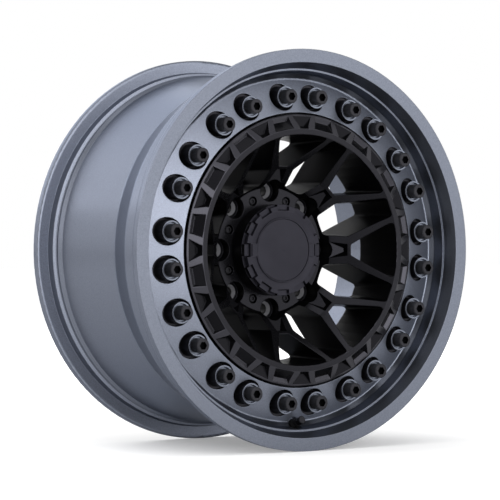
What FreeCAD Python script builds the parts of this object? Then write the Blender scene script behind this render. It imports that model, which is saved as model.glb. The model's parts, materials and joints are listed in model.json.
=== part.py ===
import FreeCAD, Part
import math
import os
import re
import Sketcher

# A bolted off-road wheel, 20 x 10 inch, 8 x 165.1 mm, standing upright.
# The axle line is Y, the styled face looks towards -Y and +Z is up.
# The origin is on the axle line, half way between the two rim edges.
# A "depth" is measured from the front lip plane towards the inboard side (+Y).

SIZES = {
    # Rim: bead seats, flanges and barrel
    "rim_width": 254.0,
    "flange_thick": 12.7,
    "flange_height": 17.5,
    "flange_round": 4.0,
    "bead_radius": 256.4,
    "bead_width": 21.0,
    "bead_fall": 1.9,
    "shoulder_depth": 62.0,
    "shoulder_length": 48.0,
    "well_drop": 15.0,
    "well_rise": 7.0,
    "hump_height": 3.2,
    "hump_width": 8.0,
    "barrel_wall": 8.0,
    "rear_step": 4.0,
    "rear_step_width": 15.0,
    # Rim: lip, ledge, gutter and bolt land seen from the front
    "rear_chamfer": 3.4,
    "lip_inset": 0.6,
    "lip_wall_inset": 5.8,
    "lip_wall_depth": 13.1,
    "step_inset": 1.7,
    "step_depth": 17.6,
    "ledge_width": 2.7,
    "gutter_inset": 3.6,
    "gutter_wall_depth": 32.5,
    "gutter_floor": 6.6,
    "gutter_depth": 38.3,
    "land_width": 46.8,
    "land_rise": 17.7,
    "web_depth": 48.0,
    "web_round": 6.0,
    "shoulder_round": 16.0,
    "hump_round": 2.0,
    "gutter_round": 2.5,
    # Ring of clamping screws
    "pair_count": 12,
    "pair_half_angle": 6.9,
    "bolt_circle": 210.4,
    "recess_radius": 18.8,
    "recess_depth": 39.5,
    "boss_radius": 14.6,
    "boss_depth": 17.2,
    "boss_wall": 2.4,
    "boss_sink": 4.0,
    "edge_bevel": 1.2,
    "screw_radius": 6.0,
    "screw_clearance": 0.5,
    "screw_length": 42.0,
    "screw_head_radius": 9.8,
    "screw_head_height": 17.4,
    "screw_socket": 10.0,
    "screw_socket_depth": 6.0,
    # Wheel centre: clamped flange and pocketed ring
    "spigot_clearance": 0.3,
    "spigot_depth": 34.0,
    "groove_gap": 2.7,
    "clamp_reach": 10.0,
    "clamp_thick": 16.0,
    "ring_band": 20.6,
    "crest_band": 6.8,
    "crest_depth": 9.5,
    "ring_outer_depth": 18.0,
    "ring_back_depth": 68.0,
    "pocket_count": 16,
    "pocket_rim": 2.9,
    "pocket_crest": 0.6,
    "pocket_edge": 0.3,
    "pocket_side_slope": 0.6,
    "vee_outer_half": 15.3,
    "vee_inner_half": 6.6,
    "vee_floor_half": 3.4,
    "vee_wall": 3.1,
    "vee_depth": 7.0,
    "tray_outer_half": 13.2,
    "tray_inner_half": 15.6,
    "tray_floor_half": 11.0,
    "tray_wall": 6.0,
    "tray_depth": 5.0,
    # Wheel centre: hub
    "bore_radius": 58.5,
    "pilot_length": 26.0,
    "cap_bore_radius": 57.0,
    "pad_depth": 94.5,
    "hub_thick": 45.2,
    "hub_radius": 105.0,
    "lug_count": 8,
    "lug_pcd": 165.1,
    "lug_hole_radius": 8.0,
    "lug_seat_radius": 11.0,
    "lug_pocket_radius": 15.2,
    "lug_pocket_depth": 15.5,
    "lug_seat_height": 5.2,
    "pad_edge": 4.5,
    # Wheel centre: forked spokes
    "stem_rise": 11.5,
    "stem_slope": 7.5,
    "stem_half_width": 18.8,
    "fork_radius": 111.5,
    "fork_depth": 65.5,
    "arm_depth": 76.0,
    "arm_half_angle": 16.2,
    "arm_width": 7.5,
    "window_round": 5.0,
    "window_margin": 0.4,
    "fork_round": 3.4,
    "window_draft": 3.0,
    "fork_web": 3.6,
    "fork_tip_half_width": 7.5,
    "valley_length": 17.6,
    "valley_rise": 9.5,
    "valley_half_width": 10.9,
    "valley_tip_half_width": 2.6,
    "valley_side_slope": 0.62,
    "heel_gap": 1.0,
    "cut_past": 2.0,
    # Small screws in the hub pads
    "pad_screw_circle": 73.0,
    "pad_screw_radius": 3.0,
    "pad_screw_length": 14.0,
    "pad_screw_head_radius": 4.8,
    "pad_screw_head_height": 6.0,
    "pad_screw_socket": 5.0,
    "pad_screw_sink": 7.0,
    "pad_screw_gap": 1.7,
    # Centre cap
    "cap_radius": 63.4,
    "cap_height": 34.0,
    "cap_wall": 3.0,
    "cap_fit": 0.3,
    "cap_skirt": 18.0,
    "tooth_count": 12,
    "tooth_length": 8.2,
    "tooth_ledge": 0.4,
    "tooth_width": 16.0,
    "tooth_drop": 3.6,
    "tooth_height": 6.0,
    "tooth_gap": 0.7,
    "tooth_side_gap": 1.4,
    "plate_inset": 2.4,
    "plate_thick": 5.5,
    "band_outer_radius": 53.4,
    "band_inner_radius": 44.6,
    "band_sink": 2.0,
    "band_bar_angle": 22.0,
    "bar_slot_width": 1.6,
    "bar_slot_half": 8.0,
    "disc_radius": 42.6,
    "disc_gap": 0.7,
    "disc_sink": 2.4,
    "disc_dome": 2.0,
    "retainer_radius": 1.4,
    # Tyre valve
    "valve_tilt": 20.0,
    "valve_seat_radius": 239.5,
    "valve_seat_depth": 37.0,
    "valve_wall": 4.0,
    "valve_hole_radius": 5.75,
    "valve_spot_radius": 9.6,
    "valve_pocket_radius": 12.0,
    "valve_pocket_length": 45.0,
    "valve_fit": 0.2,
    "valve_bulb_radius": 8.0,
    "valve_neck_radius": 6.0,
    "valve_rubber_length": 13.0,
    "valve_tail_length": 10.0,
    "stem_radius": 3.85,
    "stem_bore": 2.6,
    "stem_length": 20.5,
    "core_length": 11.0,
    "core_fit": 0.15,
    "pin_radius": 0.8,
    "pin_fit": 0.3,
    "pin_stand": 0.3,
    "pin_length": 14.0,
    "cap_shell": 1.3,
    "cap_thread_fit": 0.3,
    "cap_cover_length": 7.2,
    "cap_seal_thick": 1.0,
    "cap_seal_fit": 0.3,
}

doc = FreeCAD.newDocument("bolted_wheel")
sheet = doc.addObject("Spreadsheet::Sheet", "Sizes")
for row, (alias, number) in enumerate(SIZES.items(), start=1):
    sheet.set("A%d" % row, alias)
    sheet.set("B%d" % row, str(number))
    sheet.setAlias("B%d" % row, alias)
doc.recompute()

# Expressions that several sub-parts share
HALF_WIDTH = "(rim_width / 2 + flange_thick)"
FLANGE_RADIUS = "(bead_radius + flange_height)"
LIP_RADIUS = "(bead_radius - lip_inset)"
LIP_FOOT = "(%s - lip_wall_inset)" % LIP_RADIUS
STEP_RADIUS = "(%s - step_inset)" % LIP_FOOT
LEDGE_RADIUS = "(%s - ledge_width)" % STEP_RADIUS
GUTTER_RADIUS = "(%s - gutter_inset)" % LEDGE_RADIUS
LAND_OUTER = "(%s - gutter_floor)" % GUTTER_RADIUS
LAND_INNER = "(%s - land_width)" % LAND_OUTER
RING_OUTER = "(%s - groove_gap)" % LAND_INNER
CREST_OUTER = "(%s - ring_band)" % RING_OUTER
OPENING_RADIUS = "(%s - crest_band)" % CREST_OUTER
SPIGOT_RADIUS = "(%s - spigot_clearance)" % LAND_INNER
CLAMP_RADIUS = "(bolt_circle + clamp_reach)"
MOUNT_DEPTH = "(pad_depth + hub_thick)"
PAD_RADIUS = "(lug_pcd / 2 + pad_edge)"
CAP_TOP = "(pad_depth - cap_height)"
FORK_BOW = (0.2, 0.6, 1.0)
VALLEY_START = "(%s + stem_slope)" % PAD_RADIUS
VALLEY_END = "(%s + valley_length)" % VALLEY_START


def bound(text):
    """Write the sheet's name before each alias in an expression."""
    def name(match):
        word = match.group()
        return "Sizes." + word if word in SIZES else word
    return re.sub(r"[a-z_]+", name, text)


def size(text):
    """The present value of an expression, in millimetres or degrees."""
    return float(sheet.evalExpression(bound(text).replace("Sizes.", "")))


def at_depth(depth):
    """The Y coordinate of a depth below the lip plane, as an expression."""
    return "%s - %s" % (depth, HALF_WIDTH)


def new_body(label):
    body = doc.addObject("PartDesign::Body", label)
    body.Label = label
    return body


def origin_feature(body, role):
    return next(item for item in body.Origin.OriginFeatures if item.Role == role)


def new_sketch(body, name, role, lift=None):
    """A sketch on one of the body's own planes, raised along the plane's normal."""
    sketch = body.newObject("Sketcher::SketchObject", name)
    sketch.AttachmentSupport = [(origin_feature(body, role), "")]
    sketch.MapMode = "FlatFace"
    if lift:
        sketch.setExpression("AttachmentOffset.Base.z", bound(lift))
    return sketch


def face_sketch(body, name, depth):
    """A sketch that faces the front at the given depth: its x is X and its y is Z."""
    return new_sketch(body, name, "XZ_Plane", "%s - %s" % (HALF_WIDTH, depth))


def pin_point(sketch, geometry, position, place):
    """Tie one point of the sketch to a pair of expressions."""
    for kind, text in zip(("DistanceX", "DistanceY"), place):
        index = sketch.addConstraint(
            Sketcher.Constraint(kind, -1, 1, geometry, position, size(text)))
        sketch.setExpression("Constraints[%d]" % index, bound(text))


def outline(sketch, corners):
    """A closed outline of straight lines whose corners are pairs of expressions."""
    points = [FreeCAD.Vector(size(x), size(y), 0) for x, y in corners]
    count = len(points)
    for index, point in enumerate(points):
        sketch.addGeometry(Part.LineSegment(point, points[(index + 1) % count]), False)
    for index in range(count):
        following = (index + 1) % count
        sketch.addConstraint(Sketcher.Constraint("Coincident", index, 2, following, 1))
    for index, corner in enumerate(corners):
        pin_point(sketch, index, 1, corner)


def circle(sketch, place, radius):
    """A circle whose centre and radius are expressions."""
    centre = FreeCAD.Vector(size(place[0]), size(place[1]), 0)
    index = sketch.addGeometry(Part.Circle(centre, FreeCAD.Vector(0, 0, 1), size(radius)), False)
    pin_point(sketch, index, 3, place)
    number = sketch.addConstraint(Sketcher.Constraint("Radius", index, size(radius)))
    sketch.setExpression("Constraints[%d]" % number, bound(radius))


def turned(body, name, corners, kind="Revolution"):
    """Turn an outline of (radius, depth) corners round the axle line."""
    sketch = new_sketch(body, name + "_profile", "XY_Plane")
    outline(sketch, [(radius, at_depth(depth)) for radius, depth in corners])
    feature = body.newObject("PartDesign::" + kind, name)
    feature.Profile = sketch
    feature.ReferenceAxis = (sketch, ["V_Axis"])
    doc.recompute()
    return feature


def spun(body, name, corners):
    """Turn an outline of (radius, height) corners round the body's own Z axis."""
    sketch = new_sketch(body, name + "_profile", "XZ_Plane")
    outline(sketch, corners)
    feature = body.newObject("PartDesign::Revolution", name)
    feature.Profile = sketch
    feature.ReferenceAxis = (sketch, ["V_Axis"])
    doc.recompute()
    return feature


def bored(body, name, radius, corners, turn=0.0):
    """Cut a stepped hole: (hole radius, depth) corners about a line parallel to the axle."""
    sketch = new_sketch(body, name + "_profile", "XY_Plane")
    sketch.AttachmentOffset = FreeCAD.Placement(
        FreeCAD.Vector(), FreeCAD.Rotation(FreeCAD.Vector(0, 1, 0), -turn))
    outline(sketch, [("%s + %s" % (radius, reach), at_depth(depth)) for reach, depth in corners])
    low = FreeCAD.Vector(size(radius), size(at_depth(corners[0][1])), 0)
    high = FreeCAD.Vector(size(radius), size(at_depth(corners[-1][1])), 0)
    axis = sketch.addGeometry(Part.LineSegment(low, high), True)
    pin_point(sketch, axis, 1, (radius, at_depth(corners[0][1])))
    pin_point(sketch, axis, 2, (radius, at_depth(corners[-1][1])))
    feature = body.newObject("PartDesign::Groove", name)
    feature.Profile = sketch
    feature.ReferenceAxis = (sketch, ["Axis0"])
    doc.recompute()
    return feature


def around_axle(body, name, feature, count):
    """Repeat a feature round the axle line."""
    pattern = body.newObject("PartDesign::PolarPattern", name)
    pattern.Originals = [feature]
    pattern.Axis = (origin_feature(body, "Y_Axis"), [""])
    pattern.Angle = 360
    pattern.setExpression("Occurrences", bound(count))
    body.Tip = pattern
    doc.recompute()
    return pattern


def rounded(corners, radii):
    """Lines and arcs of a closed outline of points, each corner with its own radius."""
    count = len(corners)
    ends = []
    for index, corner in enumerate(corners):
        before = (corners[index - 1] - corner).normalize()
        after = (corners[(index + 1) % count] - corner).normalize()
        half = before.getAngle(after) / 2
        reach = radii[index] / math.tan(half)
        middle = corner + (before + after).normalize() * (radii[index] / math.sin(half))
        nearest = middle + (corner - middle).normalize() * radii[index]
        ends.append((corner + before * reach, nearest, corner + after * reach))
    pieces = []
    for index, (start, nearest, end) in enumerate(ends):
        pieces.append(Part.Arc(start, nearest, end))
        pieces.append(Part.LineSegment(end, ends[(index + 1) % count][0]))
    return pieces


def flat_point(along, across, turn):
    """A point of a front view: along and across a line at the given angle."""
    angle = math.radians(turn)
    return FreeCAD.Vector(along * math.cos(angle) - across * math.sin(angle),
                          along * math.sin(angle) + across * math.cos(angle), 0)


def carved(body, name, mouth, floor, mouth_depth, floor_depth, radius, turn):
    """Cut a drafted opening between two outlines of (along, across) corners."""
    sections = []
    for level, corners, depth in (("mouth", mouth, mouth_depth), ("floor", floor, floor_depth)):
        sketch = face_sketch(body, "%s_%s" % (name, level), depth)
        points = [flat_point(along, across, turn) for along, across in corners]
        sketch.addGeometry(rounded(points, [radius] * len(points)), False)
        sections.append(sketch)
    feature = body.newObject("PartDesign::SubtractiveLoft", name)
    feature.Profile = sections[0]
    feature.Sections = [sections[1]]
    feature.Ruled = True
    doc.recompute()
    return feature


def mirrored(corners):
    """Add the other half of an outline that is symmetrical about its line."""
    return corners + [(along, -across) for along, across in reversed(corners)]


def bolt_pair(sketch, radius):
    """The two circles of one pair of clamping screws."""
    angle = "pair_half_angle * 1 deg"
    along = "bolt_circle * cos(%s)" % angle
    across = "bolt_circle * sin(%s)" % angle
    circle(sketch, (along, across), radius)
    circle(sketch, (along, "-" + across), radius)


def edges_near(shape, matches):
    """Names of the edges whose every vertex passes the given test."""
    names = []
    for index, edge in enumerate(shape.Edges, start=1):
        if all(matches(vertex.Point) for vertex in edge.Vertexes):
            names.append("Edge%d" % index)
    return names


def ring_edges(feature, rings):
    """Names of the circular edges of a turned solid at (radius, depth) places."""
    def matches(point):
        reach = math.hypot(point.x, point.z)
        for radius, depth in rings:
            if abs(reach - size(radius)) < 1e-3 and abs(point.y - size(at_depth(depth))) < 1e-3:
                return True
        return False
    return edges_near(feature.Shape, matches)


def eased(body, name, feature, radius, rings):
    """Round the circular edges of a turned solid at (radius, depth) places."""
    soft = body.newObject("PartDesign::Fillet", name)
    soft.Base = (feature, ring_edges(feature, rings))
    soft.setExpression("Radius", bound(radius))
    doc.recompute()
    return soft


def make_rim():
    body = new_body("rim")
    width = "(rim_width + 2 * flange_thick)"
    rear_bead = "(rim_width + flange_thick)"
    well_front = "(shoulder_depth + shoulder_length)"
    well_radius = "(bead_radius - well_drop)"
    rear_well = "(%s + well_rise)" % well_radius
    hump_rear = "(%s - bead_width / 2)" % rear_bead
    hump_front = "(%s - 2 * hump_width)" % hump_rear
    inner_front = "(%s - barrel_wall)" % well_radius
    inner_rear = "(%s - barrel_wall)" % rear_well
    step_front = "(%s - rear_step_width)" % width
    flange = turned(body, "rim_section", [
        (FLANGE_RADIUS, "0"),
        (FLANGE_RADIUS, "flange_thick"),
        ("bead_radius", "flange_thick"),
        ("bead_radius - bead_fall", "flange_thick + bead_width"),
        ("bead_radius - bead_fall", "shoulder_depth"),
        (well_radius, well_front),
        (rear_well, hump_front),
        (rear_well + " + hump_height", hump_front + " + hump_width"),
        (rear_well + " + hump_height / 3", hump_rear + " - hump_width / 3"),
        ("bead_radius - bead_fall", hump_rear),
        ("bead_radius", rear_bead),
        (FLANGE_RADIUS, rear_bead),
        (FLANGE_RADIUS, width),
        ("bead_radius + rear_chamfer", width),
        (inner_rear + " + rear_step", step_front),
        (inner_rear, step_front + " - rear_step"),
        (inner_front, well_front),
        (inner_front + " - web_round", "web_depth + web_round"),
        (inner_front + " - 2 * web_round", "web_depth"),
        (LAND_INNER, "web_depth"),
        (LAND_INNER, "gutter_depth - land_rise"),
        (LAND_OUTER, "gutter_depth"),
        (GUTTER_RADIUS, "gutter_wall_depth"),
        (LEDGE_RADIUS, "step_depth"),
        (STEP_RADIUS, "step_depth"),
        (LIP_FOOT, "lip_wall_depth"),
        (LIP_RADIUS, "0"),
    ])
    soft = eased(body, "flange_edges", flange, "flange_round", [
        (FLANGE_RADIUS, "flange_thick"), (FLANGE_RADIUS, rear_bead), (FLANGE_RADIUS, width)])
    soft = eased(body, "shoulder_edges", soft, "shoulder_round", [
        ("bead_radius - bead_fall", "shoulder_depth"), (well_radius, well_front)])
    soft = eased(body, "hump_edges", soft, "hump_round", [
        (rear_well, hump_front), (rear_well + " + hump_height", hump_front + " + hump_width"),
        (rear_well + " + hump_height / 3", hump_rear + " - hump_width / 3")])
    eased(body, "gutter_edges", soft, "gutter_round", [
        (LAND_OUTER, "gutter_depth"), (GUTTER_RADIUS, "gutter_wall_depth")])

    recess_sketch = face_sketch(body, "recess_pair", "recess_depth")
    bolt_pair(recess_sketch, "recess_radius")
    recess = body.newObject("PartDesign::Pocket", "recess")
    recess.Profile = recess_sketch
    recess.Reversed = True
    recess.setExpression("Length", bound("recess_depth"))
    doc.recompute()
    around_axle(body, "recesses", recess, "pair_count")

    boss_sketch = face_sketch(body, "boss_pair", "recess_depth")
    bolt_pair(boss_sketch, "boss_radius")
    boss = body.newObject("PartDesign::Pad", "boss")
    boss.Profile = boss_sketch
    boss.setExpression("Length", bound("recess_depth - boss_depth"))
    doc.recompute()
    around_axle(body, "bosses", boss, "pair_count")

    sink_sketch = face_sketch(body, "boss_sink_pair", "boss_depth")
    bolt_pair(sink_sketch, "boss_radius - boss_wall")
    sink = body.newObject("PartDesign::Pocket", "boss_recess")
    sink.Profile = sink_sketch
    sink.setExpression("Length", bound("boss_sink"))
    doc.recompute()
    around_axle(body, "boss_recesses", sink, "pair_count")

    hole_sketch = face_sketch(body, "screw_hole_pair", "boss_depth")
    bolt_pair(hole_sketch, "screw_radius + screw_clearance")
    hole = body.newObject("PartDesign::Pocket", "screw_hole")
    hole.Profile = hole_sketch
    hole.Type = "ThroughAll"
    doc.recompute()
    around_axle(body, "screw_holes", hole, "pair_count")

    valve_sketch = new_sketch(body, "valve_hole_profile", "YZ_Plane")
    steps = [
        ("-valve_pocket_length", 0), ("-valve_pocket_length", "valve_pocket_radius"),
        ("-valve_wall", "valve_pocket_radius"), ("-valve_wall", "valve_hole_radius"),
        ("0", "valve_hole_radius"), ("0", "valve_spot_radius"),
        ("valve_rubber_length", "valve_spot_radius"), ("valve_rubber_length", 0)]
    points = [valve_point(along, across) for along, across in steps]
    for index, point in enumerate(points):
        valve_sketch.addGeometry(Part.LineSegment(point, points[(index + 1) % len(points)]), False)
    valve_sketch.addGeometry(Part.LineSegment(points[0], points[-1]), True)
    valve_hole = body.newObject("PartDesign::Groove", "valve_hole")
    valve_hole.Profile = valve_sketch
    valve_hole.ReferenceAxis = (valve_sketch, ["Axis0"])
    doc.recompute()
    return body


def valve_base():
    """The middle of the valve's seat in the gutter, at the bottom of the wheel."""
    return FreeCAD.Vector(0, size(at_depth("valve_seat_depth")), -size("valve_seat_radius"))


def valve_direction():
    """Outwards along the valve, leaning towards the middle of the wheel."""
    tilt = math.radians(size("valve_tilt"))
    return FreeCAD.Vector(0, -math.cos(tilt), math.sin(tilt))


def valve_point(along, across):
    """A point of the valve's section, in the coordinates of a YZ sketch."""
    tilt = math.radians(size("valve_tilt"))
    base = valve_base()
    reach = size(str(along))
    side = size(str(across))
    return FreeCAD.Vector(base.y - reach * math.cos(tilt) - side * math.sin(tilt),
                          base.z + reach * math.sin(tilt) - side * math.cos(tilt), 0)


def make_wheel_centre():
    body = new_body("wheel_centre")
    pilot = MOUNT_DEPTH + " - pilot_length"
    turned(body, "centre_section", [
        ("cap_bore_radius", "pad_depth"),
        (PAD_RADIUS, "pad_depth"),
        (VALLEY_START, "pad_depth - stem_rise"),
        ("fork_radius", "fork_depth"),
        (OPENING_RADIUS, "crest_depth"),
        (CREST_OUTER, "crest_depth"),
        (RING_OUTER, "ring_outer_depth"),
        (RING_OUTER, "spigot_depth"),
        (SPIGOT_RADIUS, "spigot_depth"),
        (SPIGOT_RADIUS, "web_depth"),
        (CLAMP_RADIUS, "web_depth"),
        (CLAMP_RADIUS, "web_depth + clamp_thick"),
        (RING_OUTER, "ring_back_depth"),
        (OPENING_RADIUS, "crest_depth + arm_depth"),
        ("hub_radius", MOUNT_DEPTH),
        ("bore_radius", MOUNT_DEPTH),
        ("bore_radius", pilot),
        ("cap_bore_radius", pilot),
    ])
    cut_lug_holes(body)
    cut_windows(body)
    cut_valleys(body)
    cut_ring_pockets(body)
    hole_sketch = face_sketch(body, "clamp_hole_pair", "web_depth")
    bolt_pair(hole_sketch, "screw_radius + screw_clearance")
    hole = body.newObject("PartDesign::Pocket", "clamp_hole")
    hole.Profile = hole_sketch
    hole.Type = "ThroughAll"
    doc.recompute()
    around_axle(body, "clamp_holes", hole, "pair_count")
    return body


def cut_lug_holes(body):
    seat = "(pad_depth + lug_pocket_depth)"
    lug = bored(body, "lug_hole", "lug_pcd / 2", [
        ("0", CAP_TOP),
        ("lug_pocket_radius", CAP_TOP),
        ("lug_pocket_radius", seat),
        ("lug_seat_radius", seat),
        ("lug_hole_radius", seat + " + lug_seat_height"),
        ("lug_hole_radius", MOUNT_DEPTH + " + lug_seat_height"),
        ("0", MOUNT_DEPTH + " + lug_seat_height"),
    ])
    around_axle(body, "lug_holes", lug, "lug_count")
    floor = "(pad_depth + pad_screw_sink)"
    tail = "(%s + pad_screw_length + pad_screw_gap)" % floor
    screw = bored(body, "pad_hole", "pad_screw_circle", [
        ("0", CAP_TOP),
        ("pad_screw_head_radius + pad_screw_gap", CAP_TOP),
        ("pad_screw_head_radius + pad_screw_gap", floor),
        ("pad_screw_radius + screw_clearance", floor),
        ("pad_screw_radius + screw_clearance", tail),
        ("0", tail),
    ], size("180 / lug_count"))
    around_axle(body, "pad_holes", screw, "lug_count")


def cut_windows(body):
    """Leaf windows between the forks, and fork windows between the two arms of each."""
    opening = size(OPENING_RADIUS)
    stem = size("stem_half_width")
    fork = size("fork_radius")
    tip = size(VALLEY_END + " + fork_web")
    arm = math.radians(size("arm_half_angle"))
    half_arm = size("arm_width / 2")
    half_pitch = math.radians(size("180 / lug_count"))
    draft = math.tan(math.radians(size("window_draft")))
    pad = size(PAD_RADIUS)
    front = size("crest_depth")
    back = size(MOUNT_DEPTH)
    opening -= size("window_margin")
    ring_angle = arm + half_arm / opening
    leaf_angle = half_pitch - ring_angle
    bend = flat_point(fork, stem, -math.degrees(half_pitch))
    heel = flat_point(pad, stem, -math.degrees(half_pitch))

    def leaf(depth):
        """The leaf outline at a depth: the walls close in towards the back."""
        near_ring = draft * (depth - front)
        near_hub = draft * (depth - size("fork_depth"))
        return mirrored([
            (opening * math.cos(leaf_angle) - near_ring, opening * math.sin(leaf_angle) - near_ring),
            (bend.x, -bend.y - near_hub),
            (pad + size("heel_gap") + near_hub, -heel.y - near_hub),
        ])

    def fork_window(depth):
        """The fork outline at a depth: its outer end follows the ring."""
        near_ring = draft * (depth - front)
        near_hub = draft * (depth - size("fork_depth"))
        reach = opening - near_ring
        inner = arm - half_arm / opening - near_ring / opening
        bow = [inner * share for share in FORK_BOW]
        return mirrored([(reach * math.cos(angle), reach * math.sin(angle)) for angle in bow] + [
            (tip + near_hub, size("fork_tip_half_width") - near_hub / 2),
        ])

    round_corner = size("window_round")
    leaf_turn = math.degrees(half_pitch)
    past = back + size("cut_past")
    window = carved(body, "leaf_window", leaf(0), leaf(past), "0", MOUNT_DEPTH + " + cut_past",
                    round_corner, leaf_turn)
    around_axle(body, "leaf_windows", window, "lug_count")
    window = carved(body, "fork_window", fork_window(0), fork_window(back), "0", MOUNT_DEPTH,
                    size("fork_round"), 0)
    around_axle(body, "fork_windows", window, "lug_count")


def wedge(body, name, sections, side_slope, turn):
    """Cut a hollow through (radius, floor depth, floor half width) sections; its sides lean outwards."""
    sketches = []
    for index, (radius, depth, half) in enumerate(sections):
        sketch = new_sketch(body, "%s_section_%d" % (name, index), "YZ_Plane")
        spin = FreeCAD.Rotation(FreeCAD.Vector(1, 0, 0), turn)
        sketch.AttachmentOffset = FreeCAD.Placement(spin.multVec(FreeCAD.Vector(0, 0, size(radius))), spin)
        wide = "(%s + (%s) * %s)" % (half, depth, side_slope)
        floor = at_depth(depth)
        mouth = at_depth("0")
        outline(sketch, [(mouth, "-" + wide), (floor, "-" + half), (floor, half), (mouth, wide)])
        sketches.append(sketch)
    feature = body.newObject("PartDesign::SubtractiveLoft", name)
    feature.Profile = sketches[0]
    feature.Sections = sketches[1:]
    feature.Ruled = True
    doc.recompute()
    return feature


def cut_valleys(body):
    """A narrowing hollow in the face of each stem, between its two arms."""
    valley = wedge(body, "valley", [
        (VALLEY_START, "pad_depth - stem_rise", "valley_half_width"),
        (VALLEY_END, "pad_depth - stem_rise - valley_rise", "valley_tip_half_width"),
    ], "valley_side_slope", 0)
    around_axle(body, "valleys", valley, "lug_count")


def cut_ring_pockets(body):
    """Pockets in the ring's sloped face: vees that deepen inwards and trays that deepen outwards."""
    slope = "((ring_outer_depth - crest_depth) / ring_band)"
    outer = "(%s - pocket_rim)" % RING_OUTER
    inner = "(%s + pocket_crest)" % CREST_OUTER
    vee_foot = "(%s + vee_wall)" % inner
    tray_foot = "(%s - tray_wall)" % outer

    def surface(radius):
        """Depth of the ring's face at a radius."""
        return "crest_depth + (%s - %s) * %s" % (radius, CREST_OUTER, slope)

    vee = wedge(body, "vee_pocket", [
        (outer, surface(outer) + " + pocket_edge", "vee_outer_half"),
        (vee_foot, surface(vee_foot) + " + vee_depth", "vee_floor_half"),
        (inner, surface(inner) + " + pocket_edge", "vee_inner_half"),
    ], "pocket_side_slope", 0)
    around_axle(body, "vee_pockets", vee, "pocket_count")
    tray = wedge(body, "tray_pocket", [
        (outer, surface(outer) + " + pocket_edge", "tray_outer_half"),
        (tray_foot, surface(tray_foot) + " + tray_depth", "tray_floor_half"),
        (inner, surface(inner) + " + pocket_edge", "tray_inner_half"),
    ], "pocket_side_slope", size("180 / pocket_count"))
    around_axle(body, "tray_pockets", tray, "pocket_count")


def make_socket_screw(label, radius, length, head_radius, head_height, socket, socket_depth):
    """One socket-head screw: its head stands on the XY plane and its shank hangs below."""
    body = new_body(label)
    spun(body, label + "_turned", [
        ("0", "-" + length), (radius, "-" + length), (radius, "0"), (head_radius, "0"),
        (head_radius, head_height + " - edge_bevel"),
        (head_radius + " - edge_bevel", head_height), ("0", head_height)])
    sketch = new_sketch(body, label + "_socket_outline", "XY_Plane", head_height)
    outline(sketch, [("%s / sqrt(3) * cos(%d deg)" % (socket, 60 * side),
                      "%s / sqrt(3) * sin(%d deg)" % (socket, 60 * side)) for side in range(6)])
    pocket = body.newObject("PartDesign::Pocket", label + "_socket")
    pocket.Profile = sketch
    pocket.setExpression("Length", bound(socket_depth))
    doc.recompute()
    return body


def make_group(label, source, places):
    """A group of equal solids: copies of a body, each at its own placement."""
    group = doc.addObject("Part::Feature", label)
    copies = []
    for place in places:
        solid = source.Shape.copy()
        solid.Placement = place
        copies.append(solid)
    group.Shape = Part.makeCompound(copies)
    return group


def facing_front(radius, angle, depth):
    """A placement on a circle round the axle, with local Z towards the front."""
    turn = math.radians(angle)
    place = FreeCAD.Vector(radius * math.cos(turn), size(at_depth(depth)), radius * math.sin(turn))
    return FreeCAD.Placement(place, FreeCAD.Rotation(FreeCAD.Vector(1, 0, 0), 90))


def make_flange_screws():
    screw = make_socket_screw("flange_screw_master", "screw_radius", "screw_length", "screw_head_radius",
                              "screw_head_height", "screw_socket", "screw_socket_depth")
    pitch = 360 / size("pair_count")
    half = size("pair_half_angle")
    angles = [pitch * pair + side * half for pair in range(int(size("pair_count"))) for side in (-1, 1)]
    places = [facing_front(size("bolt_circle"), angle, "boss_depth + boss_sink") for angle in angles]
    return make_group("flange_screws", screw, places)


def make_pad_screws():
    screw = make_socket_screw("pad_screw_master", "pad_screw_radius", "pad_screw_length",
                              "pad_screw_head_radius", "pad_screw_head_height", "pad_screw_socket",
                              "(pad_screw_head_height / 2)")
    count = int(size("lug_count"))
    floor = "(pad_depth + pad_screw_sink)"
    places = [facing_front(size("pad_screw_circle"), 360 / count * (index + 0.5), floor)
              for index in range(count)]
    return make_group("pad_screws", screw, places)


def make_cap_sleeve():
    """The cup of the centre cap: a skirt in the bore, a wall and a ring of square teeth."""
    body = new_body("cap_sleeve")
    ring_top = "(%s + tooth_drop + tooth_height)" % CAP_TOP
    skirt = "(cap_bore_radius - cap_fit)"
    shelf = "(%s + plate_thick)" % CAP_TOP
    turned(body, "sleeve_section", [
        ("cap_radius", ring_top), ("cap_radius", "pad_depth"), (skirt, "pad_depth"),
        (skirt, "pad_depth + cap_skirt"), (skirt + " - cap_wall", "pad_depth + cap_skirt"),
        (skirt + " - cap_wall", ring_top + " + cap_wall"), ("0", ring_top + " + cap_wall"),
        ("0", shelf), ("cap_radius - tooth_length", shelf), ("cap_radius - tooth_length", ring_top)])
    sketch = face_sketch(body, "tooth_outline", ring_top)
    inner = "cap_radius - tooth_length + tooth_ledge"
    outer = "cap_radius - tooth_gap"
    outline(sketch, [(inner, "-tooth_width / 2"), (outer, "-tooth_width / 2"),
                     (outer, "tooth_width / 2"), (inner, "tooth_width / 2")])
    tooth = body.newObject("PartDesign::Pad", "tooth")
    tooth.Profile = sketch
    tooth.setExpression("Length", bound("tooth_height"))
    doc.recompute()
    around_axle(body, "teeth", tooth, "tooth_count")
    return body


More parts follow.
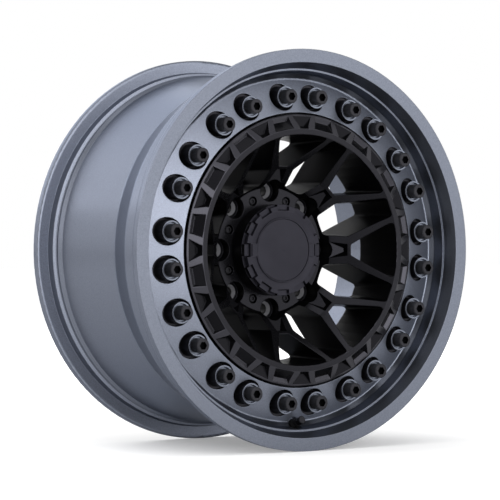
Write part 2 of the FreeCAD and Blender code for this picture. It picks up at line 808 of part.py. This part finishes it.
def make_cap_plate():
    """The notched face plate, with a dished plain band and a seat for the disc."""
    body = new_body("cap_plate")
    radius = "(cap_radius - plate_inset)"
    seat = "(%s + disc_sink)" % CAP_TOP
    back = "(%s + plate_thick)" % CAP_TOP
    turned(body, "plate_section", [
        ("0", seat), ("disc_radius + disc_gap", seat), ("disc_radius + disc_gap", CAP_TOP),
        (radius, CAP_TOP), (radius, back), ("0", back)])
    band_sketch = new_sketch(body, "band_profile", "YZ_Plane")
    outline(band_sketch, [
        (at_depth(CAP_TOP), "band_inner_radius"), (at_depth(CAP_TOP), "band_outer_radius"),
        (at_depth(CAP_TOP) + " + band_sink", "band_inner_radius")])
    band = body.newObject("PartDesign::Groove", "band")
    band.Profile = band_sketch
    band.ReferenceAxis = (band_sketch, ["H_Axis"])
    band.Midplane = True
    band.setExpression("Angle", bound("180 - band_bar_angle"))
    doc.recompute()
    around_axle(body, "bands", band, "2")
    slot_sketch = face_sketch(body, "bar_slot_outline", CAP_TOP)
    inner = "band_outer_radius - bar_slot_width"
    outline(slot_sketch, [(inner, "-bar_slot_half"), ("band_outer_radius", "-bar_slot_half"),
                          ("band_outer_radius", "bar_slot_half"), (inner, "bar_slot_half")])
    slot = body.newObject("PartDesign::Pocket", "bar_slot")
    slot.Profile = slot_sketch
    slot.setExpression("Length", bound("band_sink"))
    doc.recompute()
    around_axle(body, "bar_slots", slot, "2")
    sketch = face_sketch(body, "notch_outline", CAP_TOP)
    inner = "cap_radius - tooth_length - tooth_gap"
    half = "(tooth_width / 2 + tooth_side_gap)"
    outline(sketch, [(inner, "-" + half), ("cap_radius", "-" + half), ("cap_radius", half), (inner, half)])
    notch = body.newObject("PartDesign::Pocket", "notch")
    notch.Profile = sketch
    notch.Type = "ThroughAll"
    doc.recompute()
    around_axle(body, "notches", notch, "tooth_count")
    return body


def make_cap_disc():
    """The plain domed disc in the middle of the cap."""
    body = new_body("cap_disc")
    seat = size(at_depth("%s + disc_sink" % CAP_TOP))
    edge = size(at_depth(CAP_TOP + " + disc_gap"))
    crown = edge - size("disc_dome")
    radius = size("disc_radius")
    half = radius / 2
    sphere = (radius ** 2 + (edge - crown) ** 2) / (2 * (edge - crown))
    middle = FreeCAD.Vector(half, crown + sphere - math.sqrt(sphere ** 2 - half ** 2), 0)
    corners = [FreeCAD.Vector(*place, 0) for place in ((0, crown), (0, seat), (radius, seat), (radius, edge))]
    sketch = new_sketch(body, "disc_profile", "XY_Plane")
    for start, end in zip(corners, corners[1:]):
        sketch.addGeometry(Part.LineSegment(start, end), False)
    sketch.addGeometry(Part.Arc(corners[3], middle, corners[0]), False)
    disc = body.newObject("PartDesign::Revolution", "disc")
    disc.Profile = sketch
    disc.ReferenceAxis = (sketch, ["V_Axis"])
    doc.recompute()
    return body


def make_cap_retainer():
    """The sprung wire ring that presses the cap's skirt outwards into the bore."""
    ring = doc.addObject("Part::Torus", "cap_retainer")
    ring.setExpression("Radius1", bound("cap_bore_radius - cap_fit - cap_wall - cap_fit - retainer_radius"))
    ring.setExpression("Radius2", bound("retainer_radius"))
    height = size(at_depth("pad_depth + cap_skirt * 2 / 3"))
    ring.Placement = FreeCAD.Placement(
        FreeCAD.Vector(0, height, 0), FreeCAD.Rotation(FreeCAD.Vector(1, 0, 0), 90))
    return ring


def on_valve(body):
    """Stand a piece that was turned about Z on the valve's axis."""
    body.Placement = FreeCAD.Placement(
        valve_base(), FreeCAD.Rotation(FreeCAD.Vector(0, 0, 1), valve_direction()))
    return body


def make_valve():
    """The snap-in valve: rubber body, brass stem, core, pin, cap and the cap's seal."""
    bore = "(stem_radius + core_fit)"
    neck = "(valve_hole_radius - valve_fit)"
    shoulder = "(valve_wall + valve_fit)"
    rubber = new_body("valve_body")
    spun(rubber, "valve_body_turned", [
        (bore, "-valve_tail_length"), ("valve_neck_radius", "-valve_tail_length"),
        ("valve_bulb_radius", "-%s - valve_wall / 4" % shoulder), ("valve_bulb_radius", "-" + shoulder),
        (neck, "-" + shoulder), (neck, "valve_fit"), ("valve_bulb_radius", "valve_fit"),
        ("valve_bulb_radius", "valve_rubber_length / 3"),
        ("valve_neck_radius", "valve_rubber_length * 2 / 3"),
        ("valve_neck_radius", "valve_rubber_length"), (bore, "valve_rubber_length")])
    stem = new_body("valve_stem")
    spun(stem, "valve_stem_turned", [
        ("stem_bore", "-valve_tail_length"), ("stem_radius", "-valve_tail_length"),
        ("stem_radius", "stem_length"), ("stem_bore", "stem_length")])
    core_top = "(stem_length - 2 * pin_stand)"
    core_foot = "(%s - core_length)" % core_top
    core = new_body("valve_core")
    spun(core, "valve_core_turned", [
        ("pin_radius + pin_fit", core_foot), ("stem_bore - core_fit", core_foot),
        ("stem_bore - core_fit", core_top), ("pin_radius + pin_fit", core_top)])
    pin_top = "(stem_length - pin_stand)"
    plunger = "(%s - pin_fit)" % core_foot
    pin = new_body("valve_pin")
    spun(pin, "valve_pin_turned", [
        ("0", pin_top + " - pin_length"), ("2 * pin_radius", pin_top + " - pin_length"),
        ("2 * pin_radius", plunger), ("pin_radius", plunger), ("pin_radius", pin_top), ("0", pin_top)])
    cap_bore = "(stem_radius + cap_thread_fit)"
    ceiling = "(stem_length + cap_seal_fit + cap_seal_thick)"
    foot = "(stem_length - cap_cover_length)"
    cap = new_body("valve_cap")
    spun(cap, "valve_cap_turned", [
        (cap_bore, foot), (cap_bore + " + cap_shell", foot),
        (cap_bore + " + cap_shell", ceiling + " + cap_shell / 3"),
        (cap_bore + " + cap_shell / 3", ceiling + " + cap_shell"), ("0", ceiling + " + cap_shell"),
        ("0", ceiling), (cap_bore, ceiling)])
    seal = new_body("valve_cap_seal")
    spun(seal, "valve_cap_seal_turned", [
        ("0", "stem_length + cap_seal_fit"), (cap_bore + " - core_fit", "stem_length + cap_seal_fit"),
        (cap_bore + " - core_fit", ceiling), ("0", ceiling)])
    return [on_valve(piece) for piece in (rubber, stem, core, pin, cap, seal)]


def check_document(sub_parts):
    """Stop if any object failed or any sub-part has no valid shape."""
    for item in doc.Objects:
        if "Invalid" in item.State or "Error" in item.State:
            raise RuntimeError("%s could not be built" % item.Label)
    for part in sub_parts:
        if part.Shape.isNull() or not part.Shape.isValid():
            raise RuntimeError("%s has no valid shape" % part.Label)


sub_parts = [
    make_rim(),
    make_wheel_centre(),
    make_flange_screws(),
    make_pad_screws(),
    make_cap_sleeve(),
    make_cap_plate(),
    make_cap_disc(),
    make_cap_retainer(),
] + make_valve()
doc.recompute()
check_document(sub_parts)
os.makedirs("parts", exist_ok=True)
for part in sub_parts:
    part.Shape.exportStep("parts/%s.step" % part.Label)
    print(part.Label, len(part.Shape.Solids), round(part.Shape.Volume))
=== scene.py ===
import json
import math

import bpy
from mathutils import Matrix, Vector


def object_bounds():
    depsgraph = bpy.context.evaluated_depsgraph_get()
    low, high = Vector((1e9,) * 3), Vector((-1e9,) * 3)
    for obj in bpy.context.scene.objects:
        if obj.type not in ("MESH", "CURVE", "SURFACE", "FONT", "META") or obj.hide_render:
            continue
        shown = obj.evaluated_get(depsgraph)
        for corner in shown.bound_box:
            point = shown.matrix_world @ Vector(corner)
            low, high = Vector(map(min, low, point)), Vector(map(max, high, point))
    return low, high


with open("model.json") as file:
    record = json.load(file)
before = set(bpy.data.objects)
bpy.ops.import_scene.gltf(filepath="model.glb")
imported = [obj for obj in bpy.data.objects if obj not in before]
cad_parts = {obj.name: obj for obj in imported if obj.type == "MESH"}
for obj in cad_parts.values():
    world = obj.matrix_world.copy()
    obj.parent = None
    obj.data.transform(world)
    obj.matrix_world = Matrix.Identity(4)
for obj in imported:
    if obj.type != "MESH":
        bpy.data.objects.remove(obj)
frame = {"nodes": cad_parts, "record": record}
cad_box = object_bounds()
nodes = frame["nodes"]

# The wheel in metres, as in the solids: the axle is Y and the face looks towards -Y
LIP_RADIUS = 0.2739
LIP_PLANE = -0.1397
FLOOR_HEIGHT = cad_box[0][2]

# Materials

# Tints of the reflections on black coats and on metallic paint
COOL = (0.86, 0.85, 1.0, 1.0)
DULL = (0.42, 0.45, 0.52, 1.0)
# The values of a noise between which it goes from one tint to the other
TINT_START = 0.3
TINT_END = 0.7
EDGE_SAMPLES = 6
# The darker and lighter tints of the paints, for a tone of 1, and the reach of their roughness
GUNMETAL_DARK = (0.8, 0.87, 1.07)
GUNMETAL_LIGHT = (1.2, 1.31, 1.61)
GUNMETAL_SPREAD = 0.03
BLACK_DARK = (0.8, 0.8, 0.96)
BLACK_LIGHT = (1.2, 1.2, 1.44)
BLACK_SPREAD = 0.04


def set_input(node, key, value):
    node.inputs[key.replace("_", " ")].default_value = value


def add(tree, kind, **values):
    """Add a shader node, set its own properties and the values of its unlinked inputs."""
    node = tree.nodes.new(kind)
    for key, value in values.items():
        if hasattr(node, key):
            setattr(node, key, value)
        else:
            set_input(node, key, value)
    return node


def ramp(tree, source, start, end):
    """Turn a grey value into a blend of two colours."""
    node = add(tree, "ShaderNodeValToRGB")
    first, last = node.color_ramp.elements
    first.position = TINT_START
    last.position = TINT_END
    first.color = (*start, 1)
    last.color = (*end, 1)
    tree.links.new(source, node.inputs["Fac"])
    return node.outputs["Color"]


def spread(tree, source, low, high):
    """Map a grey value from 0..1 to low..high."""
    node = add(tree, "ShaderNodeMapRange", To_Min=low, To_Max=high)
    tree.links.new(source, node.inputs["Value"])
    return node.outputs["Result"]


def noise(tree, scale, detail):
    """Solid noise in the wheel's own coordinates; the scale is in cells for each metre."""
    place = add(tree, "ShaderNodeTexCoord")
    node = add(tree, "ShaderNodeTexNoise", Scale=scale, Detail=detail)
    tree.links.new(place.outputs["Object"], node.inputs["Vector"])
    return node.outputs["Fac"]


def bump(tree, shader, source, height, strength, edge):
    """A relief from a grey value; with an edge radius, sharp edges catch light as if rounded."""
    node = add(tree, "ShaderNodeBump", Distance=height, Strength=strength)
    tree.links.new(source, node.inputs["Height"])
    if edge:
        rounded = add(tree, "ShaderNodeBevel", samples=EDGE_SAMPLES, Radius=edge)
        tree.links.new(rounded.outputs["Normal"], node.inputs["Normal"])
    tree.links.new(node.outputs["Normal"], shader.inputs["Normal"])


def make_material(name, tint, rough, relief=None, **values):
    """A material whose tint and roughness each follow a noise.

    tint and rough are (noise, one end, other end), where a noise is (scale, detail), and relief
    is (noise, height, strength, edge radius). The other values go to the shader's own inputs.
    """
    material = bpy.data.materials.new(name)
    material.use_nodes = True
    tree = material.node_tree
    shader = next(node for node in tree.nodes if node.type == "BSDF_PRINCIPLED")
    grain, dark, light = tint
    tree.links.new(ramp(tree, noise(tree, *grain), dark, light), shader.inputs["Base Color"])
    grain, low, high = rough
    tree.links.new(spread(tree, noise(tree, *grain), low, high), shader.inputs["Roughness"])
    if relief:
        grain, height, strength, edge = relief
        bump(tree, shader, noise(tree, *grain), height, strength, edge)
    for key, value in values.items():
        set_input(shader, key, value)
    return material


def shade(tint, tone):
    return tuple(share * tone for share in tint)


def gunmetal_paint(name, tone, rough):
    """Metallic paint with fine flakes, of a given tone and roughness."""
    flake = (1100.0, 2.0)
    cloud = (9.0, 3.0)
    return make_material(
        name, (flake, shade(GUNMETAL_DARK, tone), shade(GUNMETAL_LIGHT, tone)),
        (cloud, rough - GUNMETAL_SPREAD, rough + GUNMETAL_SPREAD),
        (flake, 0.00005, 0.3, 0.0010), Metallic=0.8, Specular_Tint=DULL)


def black_paint(name, tone, specular, rough):
    """Black paint with a slight orange peel, of a given tone, specular level and roughness."""
    peel = (700.0, 2.0)
    cloud = (14.0, 3.0)
    return make_material(
        name, (cloud, shade(BLACK_DARK, tone), shade(BLACK_LIGHT, tone)),
        (peel, rough - BLACK_SPREAD, rough + BLACK_SPREAD),
        (peel, 0.00005, 0.2, 0.0018), Specular_IOR_Level=specular, Specular_Tint=COOL)


def black_steel():
    """Black oxide on steel: dark, slightly blotchy and a little shiny."""
    grain = (1500.0, 2.0)
    cloud = (120.0, 3.0)
    return make_material(
        "black_steel", (cloud, (0.010, 0.010, 0.011), (0.017, 0.017, 0.019)),
        (grain, 0.34, 0.48), (grain, 0.00003, 0.2, 0.0006),
        Specular_IOR_Level=0.18, Specular_Tint=COOL)


def black_plastic():
    """Moulded satin plastic with a fine grain."""
    grain = (1900.0, 2.0)
    cloud = (30.0, 2.0)
    return make_material(
        "black_plastic", (cloud, (0.013, 0.0125, 0.017), (0.018, 0.0175, 0.023)),
        (grain, 0.45, 0.58), (grain, 0.00003, 0.25, 0.0006),
        Specular_IOR_Level=0.15, Specular_Tint=COOL)


def spring_wire():
    """Drawn steel wire."""
    grain = (800.0, 3.0)
    return make_material(
        "spring_wire", (grain, (0.36, 0.36, 0.37), (0.50, 0.50, 0.50)),
        (grain, 0.25, 0.4), Metallic=1.0)


def black_rubber():
    """Dull moulded rubber of the valve."""
    grain = (1200.0, 3.0)
    return make_material(
        "black_rubber", (grain, (0.005, 0.005, 0.005), (0.008, 0.008, 0.008)),
        (grain, 0.5, 0.7), (grain, 0.00005, 0.3, 0.0),
        Specular_IOR_Level=0.12, Specular_Tint=COOL)


def valve_brass():
    """Turned brass of the valve's insert."""
    grain = (900.0, 3.0)
    return make_material(
        "valve_brass", (grain, (0.47, 0.32, 0.12), (0.62, 0.45, 0.19)),
        (grain, 0.25, 0.42), Metallic=1.0)


def valve_cap_plastic():
    """Smooth plastic of the valve's cap."""
    grain = (400.0, 2.0)
    return make_material(
        "valve_cap_plastic", (grain, (0.005, 0.005, 0.006), (0.008, 0.008, 0.009)),
        (grain, 0.14, 0.22), Specular_IOR_Level=0.12, Specular_Tint=COOL)


def machined_seat():
    """Bare turned aluminium of the wheel-nut seats."""
    grain = (1100.0, 2.0)
    return make_material(
        "machined_seat", (grain, (0.17, 0.17, 0.185), (0.22, 0.22, 0.235)),
        (grain, 0.42, 0.55), Metallic=0.1)


FINISHES = {
    "gunmetal_paint": gunmetal_paint("gunmetal_paint", 0.112, 0.30),
    "black_paint": black_paint("black_paint", 0.003, 0.1456, 0.26),
    "black_steel": black_steel(),
    "black_plastic": black_plastic(),
    "spring_wire": spring_wire(),
    "black_rubber": black_rubber(),
    "valve_brass": valve_brass(),
    "valve_cap_plastic": valve_cap_plastic(),
}

for row in frame["record"]["subparts"]:
    piece = nodes[row["node"]]
    piece.data.materials.clear()
    piece.data.materials.append(FINISHES[row["material_slot"]])

# Faces of one solid that carry another finish, or painted light and shade

# Rings of equal features: the clamp screws stand in pairs
SCREW_CIRCLE = 0.2104
PAIR_PITCH = math.radians(30.0)
PAIR_HALF = math.radians(6.9)
LUG_CIRCLE = 0.08255
LUG_PITCH = math.radians(45.0)
POCKET_PITCH = math.radians(22.5)
# Half the width of a tray, as a share of that pitch
TRAY_HALF = 0.25

# Distances from the axis of a screw or a wheel nut
SOCKET_RADIUS = 0.0060
COLLAR_RADIUS = 0.0140
RECESS_RADIUS = 0.0190
SEAT_RADIUS = 0.0113

# Distances from the axle
RING_INNER = 0.1582
LAND_INNER = 0.1880
LAND_OUTER = 0.2360
GUTTER_INNER = 0.2340
GUTTER_OUTER = 0.2570
FLANGE_INNER = 0.2350

# Depths behind the plane of the front lip
SOCKET_TOP = 0.0045
SOCKET_FLOOR = 0.0105
CREST_FLOOR = 0.0105
RECESS_TOP = 0.0180
RING_FLOOR = 0.0260
LAND_FLOOR = 0.0420
GUTTER_FLOOR = 0.0600
SEAT_TOP = 0.1098
SEAT_FLOOR = 0.1153
FLANGE_TOP = 0.2250

# Shares of a face's normal along the axle, where -1 looks straight ahead
SQUARE = -0.985
LAND_FLATTEST = -0.97
LAND_STEEPEST = -0.88
TRAY_SLOPE = -0.88
FLANGE_SLOPE = -0.85
SIDE_SLOPE = -0.6
VEE_SLOPE = -0.55
SEAT_SLOPE = -0.2
UPRIGHT = 0.2
# Share of the normal towards the axle
INWARD = 0.6


def refinish(piece, material, matches):
    """Give the faces that pass a test (place, normal) another material."""
    piece.data.materials.append(material)
    slot = len(piece.data.materials) - 1
    for face in piece.data.polygons:
        if matches(face.center, face.normal):
            face.material_index = slot


def reach(place):
    """Distance from the axle."""
    return math.hypot(place.x, place.z)


def depth(place):
    """Distance behind the plane of the front lip."""
    return place.y - LIP_PLANE


def from_line(place, circle, pitch, offset=0.0):
    """Distance to the nearest of a ring of lines parallel to the axle."""
    angle = math.atan2(place.z, place.x)
    turn = round((angle - offset) / pitch) * pitch + offset
    return math.hypot(place.x - circle * math.cos(turn), place.z - circle * math.sin(turn))


def from_screw(place):
    """Distance to the axis of the nearest clamp screw."""
    return min(from_line(place, SCREW_CIRCLE, PAIR_PITCH, side * PAIR_HALF) for side in (-1, 1))


def in_recess(place, normal):
    """The walls and floors of the screw recesses, and the sides of the collars in them."""
    wall_or_floor = abs(normal.y) < UPRIGHT or normal.y < SQUARE
    inside = COLLAR_RADIUS < from_screw(place) < RECESS_RADIUS
    return wall_or_floor and inside and depth(place) > RECESS_TOP


def in_seat(place, normal):
    """The conical seats of the wheel nuts."""
    inside = from_line(place, LUG_CIRCLE, LUG_PITCH) < SEAT_RADIUS
    return inside and SEAT_TOP < depth(place) < SEAT_FLOOR and normal.y < SEAT_SLOPE


def on_ring(place, normal):
    """The pocketed ring's front: a glossier coat, with its black painted lighter as painted
    light.
    """
    return reach(place) > RING_INNER and depth(place) < RING_FLOOR


def on_wall(place, normal):
    """The sides of the spokes and the wall of the dish, which lie in the dark; their black is
    painted darker as painted shade.
    """
    side = normal.y > SIDE_SLOPE
    return reach(place) < RING_INNER and side and not in_seat(place, normal)


def in_pocket(place, normal):
    """The floors and sides of the ring's trays, and the steep sides of its vees; their black is
    painted darker as painted shade.
    """
    turn = math.atan2(place.z, place.x) / POCKET_PITCH
    in_tray = abs(turn - math.floor(turn) - 0.5) < TRAY_HALF
    floor = normal.y < SQUARE and depth(place) > CREST_FLOOR
    side = normal.y > (TRAY_SLOPE if in_tray else VEE_SLOPE)
    return on_ring(place, normal) and (floor or side)


def on_crest(place, normal):
    """The flat crest along the ring's inner edge; its black is painted darker than the ring's as
    painted shade.
    """
    return on_ring(place, normal) and normal.y < SQUARE and depth(place) < CREST_FLOOR


def in_socket(place, normal):
    """The hexagon sockets of the clamp screws, painted near black as painted shade."""
    return from_screw(place) < SOCKET_RADIUS and SOCKET_TOP < depth(place) < SOCKET_FLOOR


def on_land(place, normal):
    """The sloping land that the screws stand in: a rougher coat, with its gunmetal painted
    lighter as painted light.
    """
    sloping = LAND_FLATTEST < normal.y < LAND_STEEPEST
    return LAND_INNER < reach(place) < LAND_OUTER and sloping and depth(place) < LAND_FLOOR


def in_gutter(place, normal):
    """The steps between the land and the lip, which face the axle; their gunmetal is painted
    darker as painted shade.
    """
    inward = -(normal.x * place.x + normal.z * place.z) / reach(place)
    inside = GUTTER_INNER < reach(place) < GUTTER_OUTER
    return inside and depth(place) < GUTTER_FLOOR and inward > INWARD


def on_rear_flange(place, normal):
    """The front of the rear flange: a rougher gunmetal, painted lighter as painted light."""
    return reach(place) > FLANGE_INNER and depth(place) > FLANGE_TOP and normal.y < FLANGE_SLOPE


def on_side(place, normal):
    """The sides of the cap, painted a darker black as painted shade."""
    return normal.y > SIDE_SLOPE


refinish(nodes["rim"], gunmetal_paint("land_rough_painted_light", 0.16, 0.40), on_land)
refinish(nodes["rim"], gunmetal_paint("gutter_painted_shade", 0.055, 0.32), in_gutter)
refinish(nodes["rim"], gunmetal_paint("flange_rough_painted_light", 0.21, 0.46), on_rear_flange)
refinish(nodes["rim"], black_paint("recess_black", 0.004, 0.224, 0.35), in_recess)
refinish(nodes["wheel_centre"], machined_seat(), in_seat)
refinish(nodes["wheel_centre"], black_paint("ring_glossy_painted_light", 0.010, 0.3808, 0.22), on_ring)
refinish(nodes["wheel_centre"], black_paint("pocket_painted_shade", 0.002, 0.0784, 0.24), in_pocket)
refinish(nodes["wheel_centre"], black_paint("crest_painted_shade", 0.006, 0.1344, 0.26), on_crest)
refinish(nodes["flange_screws"], black_paint("socket_painted_shade", 0.001, 0.0224, 0.4), in_socket)
refinish(nodes["wheel_centre"], black_paint("wall_painted_shade", 0.0012, 0.0224, 0.32), on_wall)
refinish(nodes["cap_sleeve"], black_paint("cap_side_painted_shade", 0.002, 0.056, 0.30), on_side)

# Camera at the angle of the photograph

VIEW_TURN = math.radians(33.897)
VIEW_DROP = math.radians(0.187)
FOCAL_PIXELS = 2436.5
FRAME_PIXELS = 500.0
SENSOR_WIDTH = 36.0
# The middle of the front lip from the camera, in lip radii
LIP_RIGHT = 0.29238
LIP_DOWN = 0.00081
LIP_AHEAD = 12.1073


def make_camera():
    right = Vector((math.cos(VIEW_TURN), -math.sin(VIEW_TURN), 0.0))
    ahead = Vector((math.cos(VIEW_DROP) * math.sin(VIEW_TURN),
                    math.cos(VIEW_DROP) * math.cos(VIEW_TURN), -math.sin(VIEW_DROP)))
    up = right.cross(ahead)
    to_lip = LIP_RADIUS * (LIP_RIGHT * right - LIP_DOWN * up + LIP_AHEAD * ahead)
    eye = Vector((0.0, LIP_PLANE, 0.0)) - to_lip
    data = bpy.data.cameras.new("camera")
    data.sensor_width = SENSOR_WIDTH
    data.lens = FOCAL_PIXELS * SENSOR_WIDTH / FRAME_PIXELS
    camera = bpy.data.objects.new("camera", data)
    camera.matrix_world = Matrix((
        (right.x, up.x, -ahead.x, eye.x),
        (right.y, up.y, -ahead.y, eye.y),
        (right.z, up.z, -ahead.z, eye.z),
        (0.0, 0.0, 0.0, 1.0)))
    bpy.context.scene.collection.objects.link(camera)
    bpy.context.scene.camera = camera


# Floor, background and lights

FLOOR_SIZE = 40.0
FLOOR_GREY = (0.80, 0.80, 0.80, 1.0)
# The floor glows less near the wheel, where its shadow lies, out to 1 / GLOW_SCALE metres
GLOW_FAR = 0.80
GLOW_NEAR = 0.23
GLOW_SCALE = 0.3
WHITE = (1.0, 1.0, 1.0, 1.0)
WORLD_LIGHT = 0.32
WORLD_SEEN = 1.0
# Name, place, width, height and watts; each box aims at the middle of the wheel
SOFTBOXES = (
    ("top_box", (-0.6, -0.6, 2.4), 3.0, 3.0, 46.0),
    ("left_strip", (-2.2, 0.3, 0.9), 0.5, 1.8, 16.0),
    ("rear_box", (-0.5, 3.3, 2.0), 4.4, 2.2, 78.0),
    ("side_box", (-1.2, 3.7, 0.7), 5.4, 1.4, 28.0),
    ("front_box", (-0.6, -3.4, 0.6), 2.4, 2.4, 74.0),
    ("right_box", (1.5, -2.9, 0.6), 2.4, 2.0, 28.0),
)


def seen_directly(tree):
    """1 for rays from the camera, from reflections and through glass, else 0."""
    path = add(tree, "ShaderNodeLightPath")
    first = add(tree, "ShaderNodeMath", operation="MAXIMUM")
    tree.links.new(path.outputs["Is Camera Ray"], first.inputs[0])
    tree.links.new(path.outputs["Is Glossy Ray"], first.inputs[1])
    second = add(tree, "ShaderNodeMath", operation="MAXIMUM")
    tree.links.new(first.outputs[0], second.inputs[0])
    tree.links.new(path.outputs["Is Transmission Ray"], second.inputs[1])
    return second.outputs[0]


def make_floor():
    bpy.ops.mesh.primitive_plane_add(size=FLOOR_SIZE, location=(0.0, 0.0, FLOOR_HEIGHT))
    floor = bpy.context.object
    floor.name = "floor"
    material = bpy.data.materials.new("floor_white")
    material.use_nodes = True
    tree = material.node_tree
    tree.nodes.clear()
    output = add(tree, "ShaderNodeOutputMaterial")
    plain = add(tree, "ShaderNodeBsdfDiffuse", Color=FLOOR_GREY)
    glow = add(tree, "ShaderNodeEmission")
    place = add(tree, "ShaderNodeTexCoord")
    shrink = add(tree, "ShaderNodeMapping", Scale=(GLOW_SCALE,) * 3)
    nearby = add(tree, "ShaderNodeTexGradient", gradient_type="QUADRATIC_SPHERE")
    level = add(tree, "ShaderNodeMath", operation="MULTIPLY")
    both = add(tree, "ShaderNodeAddShader")
    tree.links.new(place.outputs["Object"], shrink.inputs["Vector"])
    tree.links.new(shrink.outputs["Vector"], nearby.inputs["Vector"])
    tree.links.new(seen_directly(tree), level.inputs[0])
    tree.links.new(spread(tree, nearby.outputs["Fac"], GLOW_FAR, GLOW_NEAR), level.inputs[1])
    tree.links.new(level.outputs[0], glow.inputs["Strength"])
    tree.links.new(plain.outputs[0], both.inputs[0])
    tree.links.new(glow.outputs[0], both.inputs[1])
    tree.links.new(both.outputs[0], output.inputs["Surface"])
    floor.data.materials.append(material)


def make_world():
    world = bpy.data.worlds.new("studio")
    bpy.context.scene.world = world
    world.use_nodes = True
    tree = world.node_tree
    background = next(node for node in tree.nodes if node.type == "BACKGROUND")
    set_input(background, "Color", WHITE)
    level = spread(tree, seen_directly(tree), WORLD_LIGHT, WORLD_SEEN)
    tree.links.new(level, background.inputs["Strength"])


def make_softbox(name, place, width, height, power):
    data = bpy.data.lights.new(name, "AREA")
    data.shape = "RECTANGLE"
    data.size = width
    data.size_y = height
    data.energy = power
    lamp = bpy.data.objects.new(name, data)
    lamp.location = place
    lamp.rotation_euler = (-Vector(place)).to_track_quat("-Z", "Y").to_euler()
    lamp.visible_camera = False
    bpy.context.scene.collection.objects.link(lamp)


make_camera()
make_floor()
make_world()
for box in SOFTBOXES:
    make_softbox(*box)

bpy.context.scene.view_settings.view_transform = "Standard"
